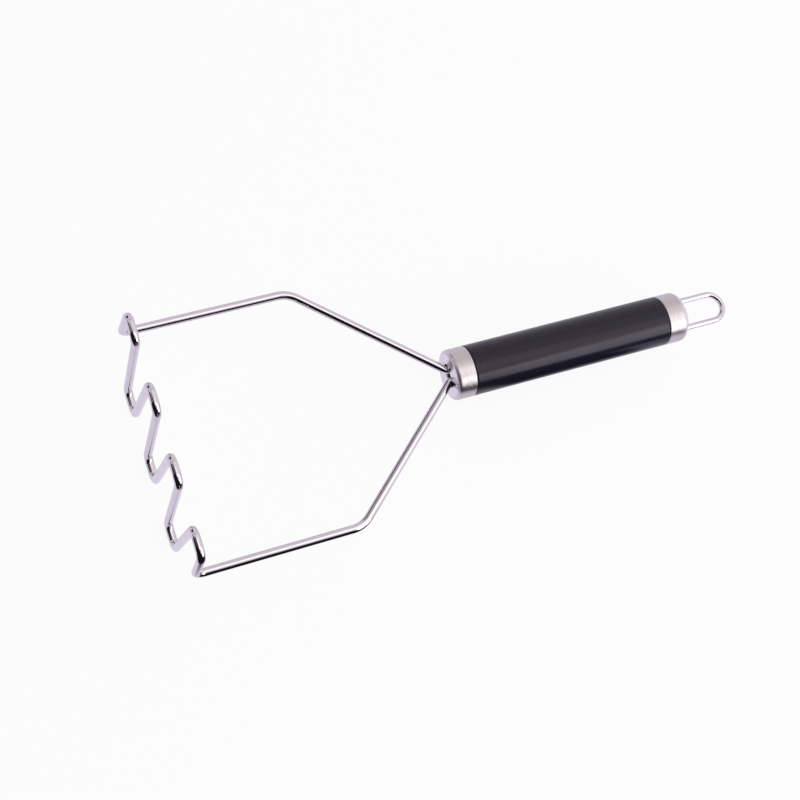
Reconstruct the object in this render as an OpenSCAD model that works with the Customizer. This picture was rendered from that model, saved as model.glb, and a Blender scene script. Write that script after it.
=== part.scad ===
// Wire masher: a wave-shaped wire head on a round handle with a hanging loop.
// The masher lies flat, with the handle along +X and the crests of the wave up.
// The origin is below the middle of the overall length and width,
// on the level of the undersides of the troughs.

/* [Head wire] */
// Diameter of the head wire
wire_d = 3.5; // [2.5:0.1:4.5]
// Overall width of the head
head_w = 105; // [92:1:125]
// Height of the wave, between wire centres
wave_rise = 52; // [40:1:64]
// Number of crests in the wave
crest_count = 4; // [3:1:5]
// Length of each crest and trough, between bend corners
flat_len = 11; // [9:0.5:12]
// Centreline radius of the bends in the wave
wave_bend_r = 4; // [3:0.25:4.75]
// Arm, from the wave to the corner of the shoulder
arm_len = 70; // [50:1:90]
// Centreline radius of the shoulder bends
shoulder_r = 12; // [8:1:18]
// Neck, from the shoulder corners to the face of the front cap
neck_len = 55; // [45:1:70]
// Clear gap between the two tails where they enter the handle
tail_gap = 1.1; // [0.6:0.1:2]
// Centreline radius of the bends at the mouth of the handle
tail_bend_r = 5; // [4:0.5:7]

/* [Handle] */
// Handle length over both caps
handle_len = 110; // [90:1:140]
// Outer diameter of the sleeve and the caps
grip_d = 21.5; // [20.5:0.5:26]
// Length of the front cap
front_cap_len = 8.5; // [6:0.5:14]
// Length of the rear cap
rear_cap_len = 10; // [7:0.5:16]
// Wall of the sleeve and the caps
cap_wall = 1.2; // [0.8:0.1:1.5]
// Radius of the front cap's rim
front_rim_r = 1.6; // [1.5:0.1:2.5]
// Radius of the rear cap's rim
rear_rim_r = 3; // [2:0.25:4]
// Radius rolled onto the open edge of each cap
edge_r = 0.3; // [0.1:0.05:0.4]
// Shadow line between the sleeve and each cap
joint_gap = 0.2; // [0:0.05:0.3]
// Wall of the core tube inside the sleeve
core_wall = 0.9; // [0.6:0.1:1.1]

/* [Plugs] */
// Length of the plug that holds the two tails
front_plug_len = 18; // [12:1:30]
// Length of the plug that holds the hanging loop
rear_plug_len = 14; // [10:1:24]
// Length of the relief ring round the middle of each plug
relief_len = 5; // [3:0.5:7]
// Depth of the relief ring
relief_depth = 0.6; // [0.3:0.1:1]
// Centreline radius of the clinched wire ends behind the plugs
clinch_r = 3; // [2.6:0.1:3.2]
// Distance from each clinched tail end to the core tube's wall
clinch_clear = 1; // [0.8:0.1:1.4]

/* [Hanging loop] */
// Diameter of the loop wire
loop_wire_d = 2.5; // [2:0.1:2.8]
// Width of the loop, between the centres of its legs
loop_w = 12; // [11:0.25:12.75]
// Reach of the loop behind the rear cap
loop_reach = 23.25; // [15:0.25:35]
// Width left between the two clinched ends of the loop
loop_end_gap = 5; // [3:0.5:5.5]

/* [Fits] */
// Gap per side between parts that slide together
slide_fit = 0.1; // [0.05:0.01:0.2]
// Gap per side between a wire and the hole it passes through
hole_fit = 0.25; // [0.15:0.05:0.3]

/* [Hidden] */
$fn = 64;

// A cutter runs this far past the face it opens
past = 1;

// A bend of wire is this much fatter per side than the straight wire, and the straight
// wire runs this far into it, so that the two are one solid
bend_swell = 0.01;
let_into_bend = 0.05;

// Heights and half widths of the wire's centreline
axis_z = wave_rise / 2 + wire_d / 2;
arm_y = (head_w - wire_d) / 2;
tail_y = (wire_d + tail_gap) / 2;

// Places along the handle, with the front end of the wire at front_x
total_len = wire_d / 2 + arm_len + neck_len + handle_len + loop_reach;
front_x = -total_len / 2;
wave_x = front_x + wire_d / 2;
shoulder_x = wave_x + arm_len;
cap_face_x = shoulder_x + neck_len;
rear_face_x = cap_face_x + handle_len;

// Radii of the tubes, from the outside in
grip_r = grip_d / 2;
cap_bore_r = grip_r - cap_wall;
core_r = cap_bore_r - slide_fit;
core_bore_r = core_r - core_wall;
plug_r = core_bore_r - slide_fit;

// The core tube ends where the rims of the caps begin to curve
core_start_x = cap_face_x + front_rim_r;
core_end_x = rear_face_x - rear_rim_r;

// The front plug starts behind the bends of the tails
tail_turn = atan2(arm_y - tail_y, neck_len);
plug_start_x = cap_face_x + max(tail_bend_r * tan(tail_turn / 2), front_rim_r) + slide_fit;
plug_end_x = plug_start_x + front_plug_len;
clinch_x = plug_end_x + clinch_r;
tail_end_y = core_bore_r - clinch_clear;

// The rear plug sits level with the end of the core tube
rear_plug_x = core_end_x - rear_plug_len;
loop_clinch_x = rear_plug_x - clinch_r;
loop_bend_r = loop_w / 2;
loop_x = rear_face_x + loop_reach - loop_wire_d / 2;

// Widths along the wave: each run between a crest and a trough leans by one lean_y
flat_total = (2 * crest_count - 1) * flat_len;
lean_y = (2 * arm_y - flat_total) / (2 * crest_count - 1);
pitch_y = 2 * (flat_len + lean_y);

function unit(v) = v / norm(v);
function turn_at(a, b, c) = acos(unit(b - a) * unit(c - b));
function cut_back(a, b, c, r) = r * tan(turn_at(a, b, c) / 2);
function mirror_y(p) = [p.x, -p.y, p.z];
function reversed(list) = [for (i = [len(list) - 1:-1:0]) list[i]];

// Where the bend at corner i of a path starts and ends
function bend_start(path, radii, i) =
    path[i] + unit(path[i - 1] - path[i]) * cut_back(path[i - 1], path[i], path[i + 1], radii[i]);
function bend_end(path, radii, i) =
    path[i] + unit(path[i + 1] - path[i]) * cut_back(path[i - 1], path[i], path[i + 1], radii[i]);

// The part of a ring of wire, of centreline radius r about the y axis, that lies
// between the plane where a bend starts and the plane where it has turned by turn
module bend_ring(r, turn, d) {
    reach = r + d;
    intersection() {
        rotate([90, 0, 0]) rotate_extrude() translate([r, 0]) circle(d = d + 2 * bend_swell);
        translate([-reach, -d, 0]) cube([2 * reach, 2 * d, reach]);
        rotate([0, turn, 0]) translate([-reach, -d, -reach]) cube([2 * reach, 2 * d, reach]);
    }
}

// One straight stretch of wire along z, let into the bends at its ends, with the bend
// that follows it towards x
module stretch(length, let_in, let_out, r, turn, d) {
    translate([0, 0, -let_in]) cylinder(d = d, h = let_in + length + let_out);
    if (turn > 0) translate([r, 0, length]) bend_ring(r, turn, d);
}

// Draws stretch number k of a wire, counted from stretch i of the path, in a frame that
// starts where stretch i does: z runs along the wire, and x is given in the masher's axes.
// Every stretch is placed from the end of the one before it.
module stretch_from(path, radii, d, k, x, i = 0) {
    is_last = i == len(path) - 2;
    z = unit(path[i + 1] - path[i]);
    from = i == 0 ? path[0] : bend_end(path, radii, i);
    to = is_last ? path[i + 1] : bend_start(path, radii, i + 1);
    length = norm(to - from);
    let_in = i == 0 ? 0 : let_into_bend;
    if (is_last) {
        stretch(length, let_in, 0, 0, 0, d);
    } else {
        r = radii[i + 1];
        turn = turn_at(path[i], path[i + 1], path[i + 2]);
        onward = path[i + 2] - path[i + 1];
        to_centre = unit(onward - z * (onward * z));
        rotate([0, 0, atan2(cross(z, x) * to_centre, x * to_centre)]) {
            if (i == k) stretch(length, let_in, let_into_bend, r, turn, d);
            if (i < k) translate([r, 0, length]) rotate([0, turn, 0]) translate([-r, 0, 0])
                stretch_from(path, radii, d, k, to_centre * cos(turn) - z * sin(turn), i + 1);
        }
    }
}

// A round wire along a path of corners, with a bend of its own radius at each corner.
// The first and last entries of radii belong to the free ends and are not used.
module bent_wire(path, radii, d) {
    z = unit(path[1] - path[0]);
    x = unit(cross(abs(z.z) < 0.7 ? [0, 0, 1] : [0, 1, 0], z));
    y = cross(z, x);
    multmatrix([[x.x, y.x, z.x, path[0].x], [x.y, y.y, z.y, path[0].y], [x.z, y.z, z.z, path[0].z]])
        for (k = [0:len(path) - 2]) stretch_from(path, radii, d, k, x);
}

// Corners of the wave from the +Y arm to the -Y arm: crest, trough, crest and so on
function crest_y(k) = arm_y - lean_y / 2 - k * pitch_y;
function trough_y(k) = crest_y(k) - flat_len - lean_y;
function crest_corners(k) = [[wave_x, crest_y(k), axis_z + wave_rise / 2],
                             [wave_x, crest_y(k) - flat_len, axis_z + wave_rise / 2]];
function trough_corners(k) = [[wave_x, trough_y(k), axis_z - wave_rise / 2],
                              [wave_x, trough_y(k) - flat_len, axis_z - wave_rise / 2]];
wave_corners = [for (k = [0:crest_count - 1])
                for (p = concat(crest_corners(k), k < crest_count - 1 ? trough_corners(k) : [])) p];

// Corners of one tail, neck and arm, from the clinched end to the wave
side_corners = [[clinch_x, tail_end_y, axis_z],
                [clinch_x, tail_y, axis_z],
                [cap_face_x, tail_y, axis_z],
                [shoulder_x, arm_y, axis_z],
                [wave_x, arm_y, axis_z]];
side_radii = [0, clinch_r, tail_bend_r, shoulder_r, wave_bend_r];

head_path = concat(side_corners, wave_corners, [for (p = reversed(side_corners)) mirror_y(p)]);
head_radii = concat(side_radii, [for (p = wave_corners) wave_bend_r], reversed(side_radii));

// Corners of one leg of the hanging loop, from its clinched end to the half turn
loop_leg = [[loop_clinch_x, loop_end_gap / 2, axis_z],
            [loop_clinch_x, loop_w / 2, axis_z],
            [loop_x - loop_bend_r, loop_w / 2, axis_z]];

module head_wire()
    color("silver") bent_wire(head_path, head_radii, wire_d);

// The loop's far end is one half turn, so it is drawn as a bend between two bent legs
module hanging_loop() {
    leg_radii = [0, clinch_r, 0];
    color("silver") {
        bent_wire(loop_leg, leg_radii, loop_wire_d);
        bent_wire([for (p = loop_leg) mirror_y(p)], leg_radii, loop_wire_d);
        translate([loop_x - loop_bend_r, 0, axis_z])
            rotate([0, 0, -90]) rotate_extrude(angle = 180)
            translate([loop_bend_r, 0]) circle(d = loop_wire_d);
    }
}

// Turns a profile drawn as [radius, distance from x] about the handle's axis
module about_handle(x, towards = 1)
    translate([x, 0, axis_z]) rotate([0, 90 * towards, 0]) children();

// Profile of a cup's outside: closed end at 0, rounded by rim_r, open end at length
module cup_outline(r, length, rim_r) {
    square([r - rim_r, length]);
    translate([0, rim_r]) square([r, length - rim_r]);
    translate([r - rim_r, rim_r]) circle(r = rim_r);
}

// Solid of one cap before its wire holes: a drawn cup with a rolled open edge
module cap_cup(length, rim_r) {
    inner_rim_r = rim_r - cap_wall;
    rotate_extrude() intersection() {
        square([grip_r, length]);
        difference() {
            union() {
                cup_outline(grip_r, length - edge_r, rim_r);
                square([grip_r - edge_r, length]);
                translate([grip_r - edge_r, length - edge_r]) circle(r = edge_r);
            }
            translate([0, cap_wall]) cup_outline(cap_bore_r, length, inner_rim_r);
        }
    }
}

// The mouth is one slot that clears both tails where they bend
module tail_slot(x, depth) {
    slot_r = wire_d / 2 + hole_fit;
    bend_shift = tail_bend_r * (1 / cos(tail_turn / 2) - 1);
    slot_y = tail_y + bend_shift + wire_d / 2 * (1 / cos(tail_turn) - 1);
    translate([x, 0, axis_z]) {
        for (side = [-1, 1])
            translate([0, side * slot_y, 0]) rotate([0, 90, 0]) cylinder(r = slot_r, h = depth);
        translate([0, -slot_y, -slot_r]) cube([depth, 2 * slot_y, 2 * slot_r]);
    }
}

// Round holes for two wires of diameter d, half_gap to each side of the middle
module wire_holes(x, depth, half_gap, d, fit)
    for (side = [-1, 1])
        translate([x, side * half_gap, axis_z]) rotate([0, 90, 0])
            cylinder(r = d / 2 + fit, h = depth);

module front_cap()
    color("lightgray") difference() {
        about_handle(cap_face_x) cap_cup(front_cap_len, front_rim_r);
        tail_slot(cap_face_x - past, cap_wall + 2 * past);
    }

module rear_cap()
    color("lightgray") difference() {
        about_handle(rear_face_x, -1) cap_cup(rear_cap_len, rear_rim_r);
        wire_holes(rear_face_x - rear_rim_r - past, rear_rim_r + 2 * past,
                   loop_w / 2, loop_wire_d, hole_fit);
    }

// A round tube between two places on the handle's axis
module tube(x0, x1, outer_r, bore_r)
    about_handle(x0) difference() {
        cylinder(r = outer_r, h = x1 - x0);
        translate([0, 0, -past]) cylinder(r = bore_r, h = x1 - x0 + 2 * past);
    }

module core_tube()
    color("gray") tube(core_start_x, core_end_x, core_r, core_bore_r);

module grip_sleeve()
    color([0.13, 0.13, 0.15])
        tube(cap_face_x + front_cap_len + joint_gap, rear_face_x - rear_cap_len - joint_gap,
             grip_r, cap_bore_r);

// A moulded plug with a relief ring round its middle
module plug_body(x, length)
    about_handle(x) difference() {
        cylinder(r = plug_r, h = length);
        translate([0, 0, (length - relief_len) / 2]) difference() {
            cylinder(r = plug_r + past, h = relief_len);
            cylinder(r = plug_r - relief_depth, h = relief_len);
        }
    }

module front_plug()
    color([0.05, 0.05, 0.06]) difference() {
        plug_body(plug_start_x, front_plug_len);
        wire_holes(plug_start_x - past, front_plug_len + 2 * past, tail_y, wire_d, slide_fit);
    }

module rear_plug()
    color([0.05, 0.05, 0.06]) difference() {
        plug_body(rear_plug_x, rear_plug_len);
        wire_holes(rear_plug_x - past, rear_plug_len + 2 * past, loop_w / 2, loop_wire_d, slide_fit);
    }

head_wire();
front_cap();
front_plug();
core_tube();
grip_sleeve();
rear_plug();
rear_cap();
hanging_loop();
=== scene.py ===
import math

import bpy
from mathutils import Matrix, Vector


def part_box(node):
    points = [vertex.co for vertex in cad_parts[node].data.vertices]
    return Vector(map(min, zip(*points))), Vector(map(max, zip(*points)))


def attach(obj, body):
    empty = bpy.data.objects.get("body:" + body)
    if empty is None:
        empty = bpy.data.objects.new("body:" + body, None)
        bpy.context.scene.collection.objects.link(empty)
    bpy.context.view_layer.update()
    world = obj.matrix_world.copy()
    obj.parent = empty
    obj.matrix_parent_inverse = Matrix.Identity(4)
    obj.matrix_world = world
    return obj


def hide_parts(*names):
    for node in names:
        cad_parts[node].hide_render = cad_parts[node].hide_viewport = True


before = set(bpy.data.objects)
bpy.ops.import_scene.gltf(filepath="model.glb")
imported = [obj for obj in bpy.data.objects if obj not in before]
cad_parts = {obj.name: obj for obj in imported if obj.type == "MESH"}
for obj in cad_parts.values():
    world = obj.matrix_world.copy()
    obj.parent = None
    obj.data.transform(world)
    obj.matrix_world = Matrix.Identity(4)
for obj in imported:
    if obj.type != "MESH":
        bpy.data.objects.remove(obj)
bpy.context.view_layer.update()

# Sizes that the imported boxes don't give, in metres
WIRE_D = 0.0035
LOOP_WIRE_D = 0.0025
FLAT_LEN = 0.011
WAVE_BEND_R = 0.004
ARM_LEN = 0.070
SHOULDER_R = 0.012
TAIL_GAP = 0.0011
TAIL_BEND_R = 0.005
CLINCH_R = 0.003
CLINCH_REACH = 0.004
LOOP_W = 0.012
LOOP_END_GAP = 0.005
HANDLE_WALL = 0.0012
FRONT_RIM_R = 0.0016
REAR_RIM_R = 0.003
CAP_EDGE_R = 0.0003
SLEEVE_EDGE_R = 0.00025
HOLE_FIT = 0.00025
DRILL_LEN = 0.012

CREST_COUNT = 4

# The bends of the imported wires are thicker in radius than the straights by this, in metres
BEND_EXTRA = 0.00001

# In metres, places closer than NEAR count as one, and vertices closer than MERGED are joined
NEAR = 0.00001
MERGED = 1e-7

# How finely round things are divided
WIRE_SIDES = 48
TURN_PER_STEP = math.radians(4.5)
LEAST_STEPS = 3
HANDLE_SIDES = 192
RIM_STEPS = 10
EDGE_STEPS = 3

# A ring of edges this far from each end of a wall, in metres, keeps the wall's shading flat
EDGE_RING = 0.0006

# Edges that turn by less than these angles, in degrees, are shaded smooth
WIRE_SMOOTH = 50
HANDLE_SMOOTH = 40

# Edges that turn by more than this are rolled
SHARP_ANGLE = math.radians(60)

# Places read from the frame
head_lo, head_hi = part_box("head_wire")
front_lo, front_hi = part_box("front_cap")
rear_lo, rear_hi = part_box("rear_cap")
sleeve_lo, sleeve_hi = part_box("grip_sleeve")
loop_lo, loop_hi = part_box("hanging_loop")
WIRE_R = WIRE_D / 2
LOOP_WIRE_R = LOOP_WIRE_D / 2
HANDLE_R = (front_hi.z - front_lo.z) / 2
AXIS_Z = (front_hi.z + front_lo.z) / 2
WAVE_X = head_lo.x + WIRE_R + BEND_EXTRA
ARM_Y = head_hi.y - WIRE_R - BEND_EXTRA
CREST_Z = head_hi.z - WIRE_R - BEND_EXTRA
TROUGH_Z = head_lo.z + WIRE_R + BEND_EXTRA
TAIL_Y = (WIRE_D + TAIL_GAP) / 2
CAP_FACE_X = front_lo.x
REAR_FACE_X = rear_hi.x
SHOULDER_X = WAVE_X + ARM_LEN
CLINCH_X = head_hi.x - WIRE_R
LOOP_CLINCH_X = loop_lo.x + LOOP_WIRE_R
LOOP_END_X = loop_hi.x - LOOP_WIRE_R


# Small helpers for modelling by hand

def object_mode():
    if bpy.context.object and bpy.context.object.mode != "OBJECT":
        bpy.ops.object.mode_set(mode="OBJECT")


def deselect_all():
    object_mode()
    bpy.ops.object.select_all(action="DESELECT")


def name_piece(name):
    """The primitive that was just added becomes the piece of that name, all of it picked."""
    piece = bpy.context.object
    piece.name = name
    piece.data.name = name
    bpy.ops.object.transform_apply(location=True, rotation=True, scale=True)
    pick(piece, "VERT", lambda vertex: True)
    return piece


def pick(piece, kind, test):
    """Edit mode, with only the vertices, edges or faces selected that pass the test."""
    bpy.ops.object.mode_set(mode="OBJECT")
    mesh = piece.data
    for elements in (mesh.vertices, mesh.edges, mesh.polygons):
        elements.foreach_set("select", [False] * len(elements))
    modes = tuple(kind == mode for mode in ("VERT", "EDGE", "FACE"))
    bpy.context.tool_settings.mesh_select_mode = modes
    chosen = {"VERT": mesh.vertices, "EDGE": mesh.edges, "FACE": mesh.polygons}[kind]
    for element in chosen:
        element.select = test(element)
    bpy.ops.object.mode_set(mode="EDIT")


def pick_edges(piece, test):
    """Edit mode, with only the edges selected whose two ends pass the test."""
    def passes(edge):
        return all(test(piece.data.vertices[v].co) for v in edge.vertices)

    pick(piece, "EDGE", passes)


def from_axis(co):
    """The distance of a place from the handle's axis."""
    return math.hypot(co.y, co.z - AXIS_Z)


def extrude(by):
    bpy.ops.mesh.extrude_region_move(TRANSFORM_OT_translate={"value": tuple(by)})


def extrude_wall(length, start, end):
    """A straight wall along X, kept flat in shading by a ring of edges close to each end."""
    way = math.copysign(1, length)
    for part in (way * start, length - way * (start + end), way * end):
        extrude((part, 0, 0))


def apply_modifier(piece, kind, **settings):
    object_mode()
    modifier = piece.modifiers.new(kind.title(), kind)
    for key, value in settings.items():
        setattr(modifier, key, value)
    bpy.context.view_layer.objects.active = piece
    bpy.ops.object.modifier_apply(modifier=modifier.name)


def settle(piece, smooth_angle):
    """Places go into the mesh, faces turn outwards, and edges flatter than the angle are smooth."""
    deselect_all()
    piece.select_set(True)
    bpy.context.view_layer.objects.active = piece
    bpy.ops.object.transform_apply(location=True, rotation=True, scale=True)
    pick(piece, "FACE", lambda face: True)
    bpy.ops.mesh.remove_doubles(threshold=MERGED)
    bpy.ops.mesh.normals_make_consistent(inside=False)
    bpy.ops.object.mode_set(mode="OBJECT")
    bpy.ops.object.shade_smooth_by_angle(angle=math.radians(smooth_angle))
    piece.select_set(False)


def finish_piece(piece, material, slot, *nodes):
    piece.data.materials.clear()
    piece.data.materials.append(material)
    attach(piece, "root")
    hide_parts(*nodes)


# Bent wires: a disc is pushed along each straight and spun round each bend

def bent_wire(name, corners, radii, wire_r):
    corners = [Vector(c) for c in corners]
    start, ahead = corners[0], (corners[1] - corners[0]).normalized()
    facing = ahead.to_track_quat("Z", "Y").to_euler()
    deselect_all()
    bpy.ops.mesh.primitive_circle_add(vertices=WIRE_SIDES, radius=wire_r, fill_type="NGON",
                                      location=start, rotation=facing)
    piece = name_piece(name)
    here = start
    for i in range(1, len(corners)):
        ahead = (corners[i] - corners[i - 1]).normalized()
        if i == len(corners) - 1:
            extrude(corners[i] - here)
            break
        onward = (corners[i + 1] - corners[i]).normalized()
        turn = ahead.angle(onward)
        cut_back = radii[i] * math.tan(turn / 2)
        bend_start = corners[i] - ahead * cut_back
        if (bend_start - here).length > NEAR:
            extrude(bend_start - here)
        to_centre = (onward - ahead * onward.dot(ahead)).normalized()
        steps = max(LEAST_STEPS, round(turn / TURN_PER_STEP))
        bpy.ops.mesh.spin(steps=steps, angle=turn, center=bend_start + to_centre * radii[i],
                          axis=to_centre.cross(ahead))
        here = corners[i] + onward * cut_back
    settle(piece, WIRE_SMOOTH)
    return piece


def mirrored(corners):
    return [Vector((c[0], -c[1], c[2])) for c in reversed(corners)]


def wave_corners():
    """Crest, trough, crest and so on, from the +Y arm to the -Y arm."""
    runs = 2 * CREST_COUNT - 1
    lean = (2 * ARM_Y - runs * FLAT_LEN) / runs
    corners, y = [], ARM_Y - lean / 2
    for run in range(runs):
        z = TROUGH_Z if run % 2 else CREST_Z
        corners += [Vector((WAVE_X, y, z)), Vector((WAVE_X, y - FLAT_LEN, z))]
        y -= FLAT_LEN + lean
    return corners


def make_head_wire():
    """One tail, neck and arm, the wave, and the same arm, neck and tail mirrored."""
    side = [Vector((CLINCH_X, TAIL_Y + CLINCH_REACH, AXIS_Z)),
            Vector((CLINCH_X, TAIL_Y, AXIS_Z)),
            Vector((CAP_FACE_X, TAIL_Y, AXIS_Z)),
            Vector((SHOULDER_X, ARM_Y, AXIS_Z)),
            Vector((WAVE_X, ARM_Y, AXIS_Z))]
    side_radii = [0, CLINCH_R, TAIL_BEND_R, SHOULDER_R, WAVE_BEND_R]
    wave = wave_corners()
    corners = side + wave + mirrored(side)
    radii = side_radii + [WAVE_BEND_R] * len(wave) + side_radii[::-1]
    return bent_wire("head_wire_bright", corners, radii, WIRE_R)


def make_hanging_loop():
    """One leg from its clinched end to the half turn, and the same leg mirrored."""
    leg_y = LOOP_W / 2
    side = [Vector((LOOP_CLINCH_X, LOOP_END_GAP / 2, AXIS_Z)),
            Vector((LOOP_CLINCH_X, leg_y, AXIS_Z)),
            Vector((LOOP_END_X, leg_y, AXIS_Z))]
    radii = [0, CLINCH_R, leg_y]
    corners = side + mirrored(side)
    return bent_wire("hanging_loop_bright", corners, radii + radii[::-1], LOOP_WIRE_R)


# Handle: two drawn cups and the sleeve between them

def ring_at(x, radius, facing):
    """A ring of vertices round the handle's axis, the first half a step off the middle plane."""
    half_step = Matrix.Rotation(math.pi / HANDLE_SIDES, 3, "X")
    turned = half_step @ Matrix.Rotation(facing * math.pi / 2, 3, "Y")
    bpy.ops.mesh.primitive_circle_add(vertices=HANDLE_SIDES, radius=radius,
                                      location=(x, 0, AXIS_Z), rotation=turned.to_euler())


def round_rim(piece, face_x, rim_r):
    """Rounds the corner between the cup's face and its wall."""
    def on_corner(co):
        return abs(co.x - face_x) < NEAR and from_axis(co) > HANDLE_R - NEAR

    pick_edges(piece, on_corner)
    bpy.ops.mesh.bevel(offset=rim_r, segments=RIM_STEPS, profile=0.5, affect="EDGES")


def give_wall(piece, edge_r):
    """The shell gets its thickness inwards, and its sharp edges are rolled."""
    pick(piece, "FACE", lambda face: True)
    bpy.ops.mesh.normals_make_consistent(inside=False)
    apply_modifier(piece, "SOLIDIFY", thickness=HANDLE_WALL, offset=-1, use_even_offset=True)
    apply_modifier(piece, "BEVEL", width=edge_r, segments=EDGE_STEPS, limit_method="ANGLE",
                   angle_limit=SHARP_ANGLE, use_clamp_overlap=True)
    settle(piece, HANDLE_SMOOTH)


def slot_half():
    """From the axis to the middle of the slot's round end, where the tails bend outwards."""
    neck_turn = math.atan2(ARM_Y - TAIL_Y, CAP_FACE_X - SHOULDER_X)
    bend_out = TAIL_BEND_R * (1 / math.cos(neck_turn / 2) - 1)
    slant_out = WIRE_R * (1 / math.cos(neck_turn) - 1)
    return TAIL_Y + bend_out + slant_out


def make_front_cap():
    """The cup's face runs from the slot's outline to the rim, and the wall on to the sleeve."""
    deselect_all()
    ring_at(CAP_FACE_X, WIRE_R + HOLE_FIT, facing=-1)
    piece = name_piece("front_cap_brushed")
    for side in (1, -1):
        pick(piece, "VERT", lambda v: v.co.y * side > 0)
        bpy.ops.transform.translate(value=(0, side * slot_half(), 0))
    face_r = HANDLE_R - 2 * FRONT_RIM_R
    ring_at(CAP_FACE_X, face_r, facing=-1)
    pick(piece, "VERT", lambda v: True)
    bpy.ops.mesh.bridge_edge_loops()
    pick_edges(piece, lambda co: from_axis(co) > face_r - NEAR)
    grow = HANDLE_R / face_r
    bpy.ops.mesh.extrude_region_move()
    bpy.ops.transform.resize(value=(1, grow, grow), center_override=(CAP_FACE_X, 0, AXIS_Z))
    extrude_wall(front_hi.x - front_lo.x, FRONT_RIM_R + EDGE_RING, EDGE_RING)
    round_rim(piece, CAP_FACE_X, FRONT_RIM_R)
    give_wall(piece, CAP_EDGE_R)
    return piece


def make_rear_cap():
    """The cup is open towards the sleeve. Its flat face has two holes, which are drilled last."""
    deselect_all()
    ring_at(REAR_FACE_X, HANDLE_R, facing=1)
    piece = name_piece("rear_cap_brushed")
    extrude_wall(rear_lo.x - rear_hi.x, REAR_RIM_R + EDGE_RING, EDGE_RING)
    pick_edges(piece, lambda co: abs(co.x - REAR_FACE_X) < NEAR)
    bpy.ops.mesh.edge_face_add()
    round_rim(piece, REAR_FACE_X, REAR_RIM_R)
    give_wall(piece, CAP_EDGE_R)
    for side in (1, -1):
        drill(piece, side * LOOP_W / 2)
    settle(piece, HANDLE_SMOOTH)
    return piece


def drill(piece, y):
    """A round hole through the rear cap's face for one leg of the loop."""
    deselect_all()
    bpy.ops.mesh.primitive_cylinder_add(
        vertices=WIRE_SIDES, radius=LOOP_WIRE_R + HOLE_FIT, depth=DRILL_LEN,
        location=(REAR_FACE_X, y, AXIS_Z), rotation=(0, math.pi / 2, 0))
    drill_bit = bpy.context.object
    apply_modifier(piece, "BOOLEAN", operation="DIFFERENCE", object=drill_bit, solver="EXACT")
    bpy.data.objects.remove(drill_bit)


def make_grip_sleeve():
    deselect_all()
    ring_at(sleeve_lo.x, HANDLE_R, facing=-1)
    piece = name_piece("grip_sleeve_satin")
    extrude_wall(sleeve_hi.x - sleeve_lo.x, EDGE_RING, EDGE_RING)
    give_wall(piece, SLEEVE_EDGE_R)
    return piece


# Small helpers for materials

def feed(tree, node, links):
    """Each socket, by its name or number, gets a value or the output that feeds it."""
    for key, value in links.items():
        if isinstance(value, bpy.types.NodeSocket):
            tree.links.new(value, node.inputs[key])
        else:
            node.inputs[key].default_value = value


def add(tree, kind, links=None, **settings):
    """A new node with its settings and its sockets fed."""
    node = tree.nodes.new(kind)
    for key, value in settings.items():
        setattr(node, key, value)
    feed(tree, node, links or {})
    return node


def spaced(links):
    """Names given as keywords, with their spaces back."""
    return {key.replace("_", " "): value for key, value in links.items()}


def maths(tree, operation, *values, **settings):
    node = add(tree, "ShaderNodeMath", dict(enumerate(values)), operation=operation, **settings)
    return node.outputs["Value"]


def ramp(tree, value, low=0.0, high=1.0, to_low=0.0, to_high=1.0, **settings):
    """A value between low and high is spread from to_low to to_high, and stays within them."""
    links = {"Value": value, "From Min": low, "From Max": high,
             "To Min": to_low, "To Max": to_high}
    return add(tree, "ShaderNodeMapRange", links, **settings).outputs["Result"]


def noise(tree, place, scale, detail, **more):
    links = {"Vector": place, "Scale": scale, "Detail": detail, **more}
    return add(tree, "ShaderNodeTexNoise", links).outputs["Fac"]


def mix_colour(tree, factor, first, second):
    """A colour mix has its own pair of inputs, 6 and 7, and its own output, 2."""
    colours = {}
    for socket, colour in ((6, first), (7, second)):
        is_output = isinstance(colour, bpy.types.NodeSocket)
        colours[socket] = colour if is_output else (*colour, 1)
    return add(tree, "ShaderNodeMix", {0: factor, **colours}, data_type="RGBA").outputs[2]


def mix_shader(tree, share, first, second):
    """The second shader by its share, and the first by the rest."""
    return add(tree, "ShaderNodeMixShader", {0: share, 1: first, 2: second}).outputs["Shader"]


def bumped(tree, height, strength, distance):
    links = {"Height": height, "Strength": strength, "Distance": distance}
    return add(tree, "ShaderNodeBump", links).outputs["Normal"]


def node_group(name, inputs, outputs):
    """An empty node group. Inputs are name: (socket type, default), outputs are names of floats."""
    group = bpy.data.node_groups.new(name, "ShaderNodeTree")
    for key, (kind, default) in inputs.items():
        socket = group.interface.new_socket(key, in_out="INPUT", socket_type=kind)
        if default is not None:
            socket.default_value = default
    for key in outputs:
        group.interface.new_socket(key, in_out="OUTPUT", socket_type="NodeSocketFloat")
    group_in = group.nodes.new("NodeGroupInput")
    return group, group_in.outputs, group.nodes.new("NodeGroupOutput")


def use_group(tree, group, **links):
    node = add(tree, "ShaderNodeGroup", node_tree=group)
    feed(tree, node, spaced(links))
    return node.outputs


def new_material(name, **shader_values):
    material = bpy.data.materials.new(name)
    material.use_nodes = True
    tree = material.node_tree
    shader = tree.nodes["Principled BSDF"]
    feed(tree, shader, spaced(shader_values))
    place = add(tree, "ShaderNodeTexCoord").outputs["Object"]
    return material, tree, shader, place


# Shared effects, as node groups with named inputs and outputs

# The wall's finish fades in between these depths below the outer radius, and the rim's over this
# much radius outside the front cap's flat face, in metres
WALL_FADE_START, WALL_FADE_END = 0.00030, 0.00003
RIM_FADE = 0.0003

# The broad grooves have this share of the fine ones' fineness
BROAD_SHARE = 0.22


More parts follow.
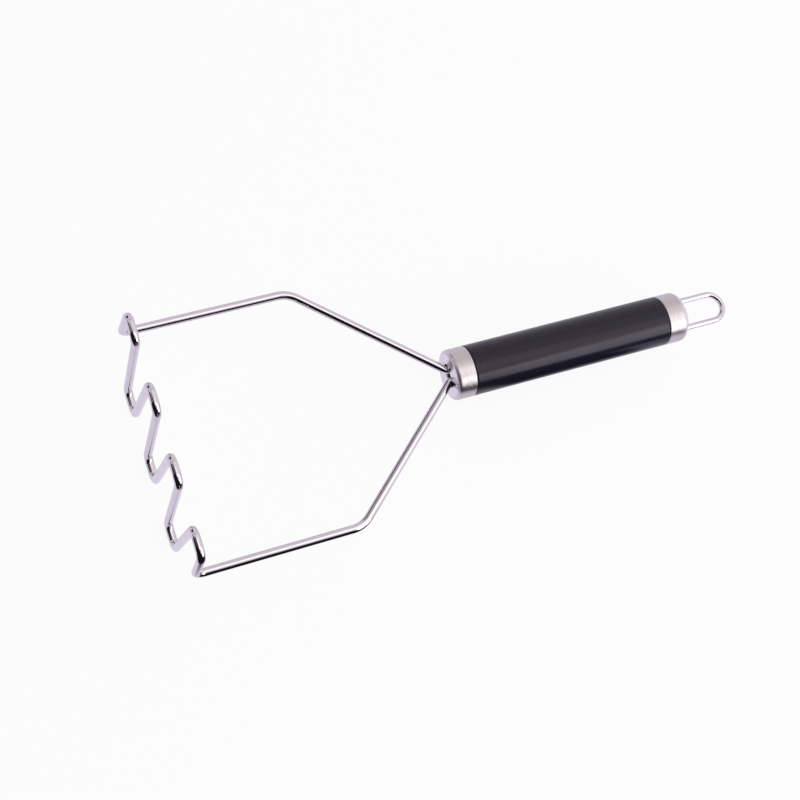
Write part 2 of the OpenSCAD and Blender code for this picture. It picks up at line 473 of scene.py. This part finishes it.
def handling_marks():
    """Faint smudges and tiny specks, such as a handled, wiped surface has."""
    group, ins, outs = node_group(
        "handling_marks",
        {"Vector": ("NodeSocketVector", None),
         "Smudge Scale": ("NodeSocketFloat", 60.0),
         "Speck Scale": ("NodeSocketFloat", 900.0)},
        ("Smudge", "Specks"))
    smudges = noise(group, ins["Vector"], ins["Smudge Scale"], detail=4.0)
    specks = noise(group, ins["Vector"], ins["Speck Scale"], detail=1.0)
    feed(group, outs, {"Smudge": ramp(group, smudges, low=0.35, high=0.70),
                       "Specks": ramp(group, specks, low=0.74, high=0.80)})
    return group


def turned_grain():
    """Fine and broad grooves round the handle's axis, on walls and faces, as a brushed cap has.
    Wall is 1 at the outer wall, and Rim is 1 farther out than the front cap's flat face."""
    group, ins, outs = node_group(
        "turned_grain",
        {"Vector": ("NodeSocketVector", None),
         "Axis Height": ("NodeSocketFloat", AXIS_Z),
         "Fineness": ("NodeSocketFloat", 9000.0),
         "Streak": ("NodeSocketFloat", 90.0)},
        ("Fine", "Broad", "Wall", "Rim"))
    split = add(group, "ShaderNodeSeparateXYZ", {"Vector": ins["Vector"]}).outputs
    height = maths(group, "SUBTRACT", split["Z"], ins["Axis Height"])
    across = add(group, "ShaderNodeCombineXYZ", {"Y": split["Y"], "Z": height}).outputs["Vector"]
    radius = add(group, "ShaderNodeVectorMath", {0: across}, operation="LENGTH").outputs["Value"]
    along = maths(group, "ADD", split["X"], radius)

    def grooves(fineness):
        """A noise drawn out round the axis, fine along the handle and across the face."""
        place = add(group, "ShaderNodeCombineXYZ",
                    {"X": maths(group, "MULTIPLY", along, fineness),
                     "Y": maths(group, "MULTIPLY", split["Y"], ins["Streak"]),
                     "Z": maths(group, "MULTIPLY", height, ins["Streak"])})
        return noise(group, place.outputs["Vector"], scale=1.0, detail=3.0, Roughness=0.65)

    rim_start = HANDLE_R - FRONT_RIM_R
    broad = maths(group, "MULTIPLY", ins["Fineness"], BROAD_SHARE)
    feed(group, outs, {
        "Fine": grooves(ins["Fineness"]),
        "Broad": grooves(broad),
        "Wall": ramp(group, radius, HANDLE_R - WALL_FADE_START, HANDLE_R - WALL_FADE_END),
        "Rim": ramp(group, radius, rim_start, rim_start + RIM_FADE)})
    return group


# Materials. Roughness runs from 0, a mirror, to 1, matt

WIRE_LIGHT, WIRE_SHADE = (0.72, 0.69, 0.72), (0.68, 0.65, 0.69)
LOOP_LIGHT, LOOP_SHADE = (0.72, 0.70, 0.72), (0.67, 0.65, 0.68)
WIRE_ROUGH, LOOP_ROUGH = 0.04, 0.05
SMUDGE_DULLS = 2.2
CAP_GROOVE, CAP_RIDGE = (0.46, 0.425, 0.425), (0.75, 0.71, 0.705)
# The face and rim are lighter than the wall: a painted reflection on top of their smoother finish
CAP_FACE_PAINTED_LIGHT = (0.80, 0.77, 0.82)
CAP_FACE_ROUGH, CAP_RIM_ROUGH = 0.12, 0.45
CAP_SMUDGE_ADDS = 0.06
GRIP_BLACK, GRIP_SPECK = (0.011, 0.011, 0.021), (0.035, 0.033, 0.045)
GRIP_SHEEN_TINT = (0.90, 0.85, 1.0, 1)
# The plugs' black is painted shade, seen through the front cap's slot
PLUG_SHADE_BLACK, PLUG_WORN = (0.010, 0.010, 0.011), (0.018, 0.018, 0.02)
TUBE_STEEL, TUBE_WORN = (0.40, 0.40, 0.41), (0.50, 0.50, 0.50)


def bright_wire_material(name, marks, light, shade, roughness):
    """Polished, plated wire: a clear reflection with faint wiping marks."""
    material, tree, shader, place = new_material(name, Metallic=1.0)
    worn = use_group(tree, marks, Vector=place, Smudge_Scale=110.0)
    dulled = roughness * SMUDGE_DULLS
    ripple = noise(tree, place, scale=160.0, detail=2.0)
    feed(tree, shader, {
        "Base Color": mix_colour(tree, worn["Smudge"], light, shade),
        "Roughness": ramp(tree, worn["Smudge"], to_low=roughness, to_high=dulled),
        "Normal": bumped(tree, ripple, strength=0.12, distance=0.0004)})
    return material


def brushed_cap_material(marks, grain):
    """Stainless cups, brushed round the handle, with a smooth face and a duller rounded rim, both
    painted lighter than the wall as a painted reflection.
    """
    material, tree, shader, place = new_material("brushed_cap", Metallic=1.0)
    lines = use_group(tree, grain, Vector=place)
    worn = use_group(tree, marks, Vector=place, Smudge_Scale=70.0)
    brushed = mix_colour(tree, lines["Broad"], CAP_GROOVE, CAP_RIDGE)
    wall_rough = ramp(tree, lines["Fine"], low=0.3, high=0.7, to_low=0.20, to_high=0.34)
    smudged = maths(tree, "MULTIPLY_ADD", worn["Smudge"], CAP_SMUDGE_ADDS, wall_rough)
    outside = ramp(tree, lines["Wall"], to_low=CAP_RIM_ROUGH, to_high=smudged)
    feed(tree, shader, {
        "Base Color": mix_colour(tree, lines["Wall"], CAP_FACE_PAINTED_LIGHT, brushed),
        "Roughness": ramp(tree, lines["Rim"], to_low=CAP_FACE_ROUGH, to_high=outside),
        "Normal": bumped(tree, lines["Fine"], strength=0.35, distance=0.00012)})
    return material


def satin_grip_material(marks):
    """Satin black sleeve with a very fine tooth and a few tiny pale specks."""
    material, tree, shader, place = new_material("satin_grip", IOR=1.42,
                                                 Specular_Tint=GRIP_SHEEN_TINT)
    worn = use_group(tree, marks, Vector=place, Smudge_Scale=45.0, Speck_Scale=700.0)
    tooth = noise(tree, place, scale=2600.0, detail=2.0)
    feed(tree, shader, {
        "Base Color": mix_colour(tree, worn["Specks"], GRIP_BLACK, GRIP_SPECK),
        "Roughness": ramp(tree, worn["Smudge"], to_low=0.20, to_high=0.27),
        "Normal": bumped(tree, tooth, strength=0.25, distance=0.00004)})
    return material


def plug_material(marks):
    """Moulded black plugs, inside the core tube behind the caps. Their black is painted shade,
    which darkens the front cap's slot.
    """
    material, tree, shader, place = new_material("moulded_plug", IOR=1.48)
    worn = use_group(tree, marks, Vector=place, Smudge_Scale=80.0)
    feed(tree, shader, {
        "Base Color": mix_colour(tree, worn["Smudge"], PLUG_SHADE_BLACK, PLUG_WORN),
        "Roughness": ramp(tree, worn["Smudge"], to_low=0.50, to_high=0.65)})
    return material


def core_tube_material(marks, grain):
    """Plain drawn steel tube, duller than the caps."""
    material, tree, shader, place = new_material("core_steel", Metallic=1.0)
    lines = use_group(tree, grain, Vector=place, Fineness=2500.0, Streak=400.0)
    worn = use_group(tree, marks, Vector=place, Smudge_Scale=60.0)
    feed(tree, shader, {
        "Base Color": mix_colour(tree, worn["Smudge"], TUBE_STEEL, TUBE_WORN),
        "Roughness": ramp(tree, lines["Fine"], to_low=0.35, to_high=0.50)})
    return material


# The pieces and their finishes

marks = handling_marks()
grain = turned_grain()
wire_finish = bright_wire_material("polished_wire", marks, WIRE_LIGHT, WIRE_SHADE, WIRE_ROUGH)
loop_finish = bright_wire_material("loop_wire", marks, LOOP_LIGHT, LOOP_SHADE, LOOP_ROUGH)
cap_finish = brushed_cap_material(marks, grain)
grip_finish = satin_grip_material(marks)
plug_finish = plug_material(marks)
core_finish = core_tube_material(marks, grain)

finish_piece(make_head_wire(), wire_finish, "polished_wire", "head_wire")
finish_piece(make_hanging_loop(), loop_finish, "loop_wire", "hanging_loop")
finish_piece(make_front_cap(), cap_finish, "brushed_cap", "front_cap")
finish_piece(make_rear_cap(), cap_finish, "brushed_cap", "rear_cap")
finish_piece(make_grip_sleeve(), grip_finish, "black_grip", "grip_sleeve")
for node, finish in (("front_plug", plug_finish), ("rear_plug", plug_finish),
                     ("core_tube", core_finish)):
    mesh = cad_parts[node].data
    mesh.materials.clear()
    mesh.materials.append(finish)


# Floor, on which the troughs and the rear cap's lower edge rest

WHITE = (1, 1, 1)
FLOOR_SIZE = 8.0
FLOOR_PAINT = (0.92, 0.90, 0.93, 1)
FLOOR_GLOW = 0.93
# In reflections the floor glows less along a strip between the arms: painted shade
MIRRORED_GLOW, SHADE_STRIP_GLOW = 0.90, 0.35
MIRRORED_TINT = (0.84, 0.80, 0.92)

# The strip of painted shade, the card and the table's edges, in metres, are seen only in
# reflections
SHADE_STRIP_START_X, SHADE_STRIP_END_X = -0.100, -0.040
TABLE_EDGE_X, TABLE_EDGE_Y = -0.300, -0.060
CARD_START_X, CARD_END_X = 0.030, 0.088
CARD_EDGE_Y = -0.012
EDGE_FADE = 0.012


def floor_slope():
    """The tilt at which one plane touches the lowest wire and the rear cap's rim."""
    across = (REAR_FACE_X - REAR_RIM_R) - WAVE_X
    rise = (AXIS_Z - HANDLE_R + REAR_RIM_R) - TROUGH_Z
    return math.atan2(rise, across) - math.asin((REAR_RIM_R - WIRE_R) / math.hypot(across, rise))


def floor_material():
    """White to the camera and pale in reflections, and still taking the object's shadow.
    Reflections show a strip of painted shade between the arms, where the floor glows less, and the
    room where the table ends or the card lies, which gives bright wire its dark lines."""
    material = bpy.data.materials.new("pale_floor")
    material.use_nodes = True
    tree = material.node_tree
    tree.nodes.clear()
    path = add(tree, "ShaderNodeLightPath").outputs
    mirrored = path["Is Glossy Ray"]
    position = add(tree, "ShaderNodeNewGeometry").outputs["Position"]
    place = add(tree, "ShaderNodeSeparateXYZ", {"Vector": position}).outputs

    def past(axis, edge, way):
        """1 on the far side of an edge across one axis, with a short fade."""
        return ramp(tree, place[axis], edge, edge + way * EDGE_FADE)

    # The strip between the arms glows less in reflections, as painted shade
    off_shade_strip = maths(tree, "MAXIMUM", past("X", SHADE_STRIP_START_X, -1), past("X", SHADE_STRIP_END_X, 1))
    mirror_share = ramp(tree, off_shade_strip, to_low=SHADE_STRIP_GLOW, to_high=MIRRORED_GLOW)
    seen = maths(tree, "ADD", path["Is Camera Ray"], path["Is Transmission Ray"])
    seen_share = maths(tree, "MULTIPLY", seen, FLOOR_GLOW)
    share = maths(tree, "MULTIPLY_ADD", mirrored, mirror_share, seen_share)
    paint = add(tree, "ShaderNodeBsdfDiffuse", {"Color": FLOOR_PAINT}).outputs["BSDF"]
    glow_colour = mix_colour(tree, mirrored, WHITE, MIRRORED_TINT)
    glow = add(tree, "ShaderNodeEmission", {"Color": glow_colour, "Strength": 1.0})
    white = mix_shader(tree, share, paint, glow.outputs["Emission"])

    beside_card = maths(tree, "MAXIMUM", past("X", CARD_START_X, -1), past("X", CARD_END_X, 1))
    card = maths(tree, "SUBTRACT", past("Y", CARD_EDGE_Y, -1), beside_card, use_clamp=True)
    off_table = maths(tree, "MAXIMUM", past("X", TABLE_EDGE_X, -1), past("Y", TABLE_EDGE_Y, -1))
    gone = maths(tree, "MULTIPLY", maths(tree, "MAXIMUM", card, off_table), mirrored)
    clear = add(tree, "ShaderNodeBsdfTransparent").outputs["BSDF"]
    add(tree, "ShaderNodeOutputMaterial", {"Surface": mix_shader(tree, gone, white, clear)})
    return material


def make_floor():
    slope = floor_slope()
    normal = Vector((-math.sin(slope), 0, math.cos(slope)))
    touch = Vector((WAVE_X, 0, TROUGH_Z)) - normal * WIRE_R
    deselect_all()
    bpy.ops.mesh.primitive_plane_add(size=FLOOR_SIZE, location=touch, rotation=(0, -slope, 0))
    floor = bpy.context.object
    floor.name = "floor"
    floor.data.materials.append(floor_material())


make_floor()


# Light: three broad lamps, in metres and watts, and a pale room with dark and lit parts

LAMP_AIM = Vector((0, 0, 0.03))


def lamp(name, place, width, height, power, colour):
    data = bpy.data.lights.new(name, "AREA")
    data.shape = "RECTANGLE"
    data.size, data.size_y = width, height
    data.energy = power
    data.color = colour
    unit = bpy.data.objects.new(name, data)
    bpy.context.scene.collection.objects.link(unit)
    unit.location = place
    unit.rotation_euler = (LAMP_AIM - Vector(place)).to_track_quat("-Z", "Y").to_euler()
    unit.visible_camera = False


lamp("overhead_lamp", place=(0.38, -0.22, 1.05), width=0.62, height=1.30, power=2.0,
     colour=(1.0, 0.985, 1.0))
lamp("near_lamp", place=(0.529, -0.728, 0.460), width=0.50, height=0.62, power=2.8,
     colour=(1.0, 0.98, 1.0))
lamp("fill_lamp", place=(0.86, 0.00, 0.55), width=1.00, height=0.60, power=0.5,
     colour=(1.0, 0.98, 1.0))

SURROUND = (0.80, 0.74, 0.77)
LIT_WALL = (1.00, 0.94, 0.97)
DARK_SIDE = (0.012, 0.010, 0.013)


def across_room(azimuth, fall):
    """A level direction that leans down by fall, so that what it marks sinks to both sides."""
    turn = math.radians(azimuth)
    return math.cos(turn), math.sin(turn), -fall


def straight_at(azimuth, height):
    """The direction at an azimuth and a height above the level, in degrees."""
    turn = math.radians(azimuth)
    rise = math.radians(height)
    return math.cos(rise) * math.cos(turn), math.cos(rise) * math.sin(turn), math.sin(rise)


# Each part of the room: its direction, and where along that the part begins and is full
DARK_PARTS = ((across_room(-133, 0.9), -0.25, -0.14),
              (straight_at(-143, 35), 0.74, 0.82),
              (straight_at(172, 58), 0.935, 0.980),
              (across_room(-90, 0.5), 0.74, 0.84),
              (straight_at(110, 12), 0.951, 0.978),
              (straight_at(98, 50), 0.990, 0.996))
LIT_PARTS = ((straight_at(38, 57), 0.955, 0.985),
             (straight_at(-28, 5), 0.906, 0.966),
             (straight_at(152, -8), 0.927, 0.978))


def parts_mask(tree, place, parts):
    """1 where any of the parts is full, and 0 outside all of them."""
    mask = 0.0
    for direction, start, full in parts:
        along = add(tree, "ShaderNodeVectorMath", {0: place, 1: direction},
                    operation="DOT_PRODUCT")
        part = ramp(tree, along.outputs["Value"], start, full, interpolation_type="SMOOTHSTEP")
        mask = maths(tree, "MAXIMUM", mask, part)
    return mask


def make_world():
    """Plain white to the camera, and the pale room with its dark and lit parts to all else."""
    world = bpy.data.worlds.new("studio")
    bpy.context.scene.world = world
    world.use_nodes = True
    tree = world.node_tree
    tree.nodes.clear()
    place = add(tree, "ShaderNodeTexCoord").outputs["Generated"]
    walls = mix_colour(tree, parts_mask(tree, place, DARK_PARTS), SURROUND, DARK_SIDE)
    around = mix_colour(tree, parts_mask(tree, place, LIT_PARTS), walls, LIT_WALL)
    to_camera = add(tree, "ShaderNodeLightPath").outputs["Is Camera Ray"]
    room = add(tree, "ShaderNodeBackground", {"Color": around, "Strength": 1.0})
    white = add(tree, "ShaderNodeBackground", {"Color": (*WHITE, 1), "Strength": 1.0})
    seen = mix_shader(tree, to_camera, room.outputs["Background"], white.outputs["Background"])
    add(tree, "ShaderNodeOutputWorld", {"Surface": seen})


make_world()


# Camera, at the photograph's angle: metres, degrees and a lens in millimetres

CAMERA_PLACE = Vector((-0.23188, -0.14424, 0.64260))
CAMERA_AIM = Vector((-0.02390, -0.00279, 0.01929))
CAMERA_ROLL = math.radians(-38.982)
CAMERA_LENS = 72.774
SENSOR_WIDTH = 36.0


def make_camera():
    data = bpy.data.cameras.new("camera")
    data.lens = CAMERA_LENS
    data.sensor_width = SENSOR_WIDTH
    data.clip_start, data.clip_end = 0.01, 50.0
    camera = bpy.data.objects.new("camera", data)
    bpy.context.scene.collection.objects.link(camera)
    ahead = (CAMERA_AIM - CAMERA_PLACE).normalized()
    level = ahead.cross(Vector((0, 0, 1))).normalized()
    upright = level.cross(ahead)
    up = upright * math.cos(CAMERA_ROLL) + level * math.sin(CAMERA_ROLL)
    right = ahead.cross(up)
    turned = Matrix((right, up, -ahead)).transposed()
    camera.matrix_world = Matrix.Translation(CAMERA_PLACE) @ turned.to_4x4()
    bpy.context.scene.camera = camera


make_camera()
bpy.context.scene.view_settings.view_transform = "Standard"
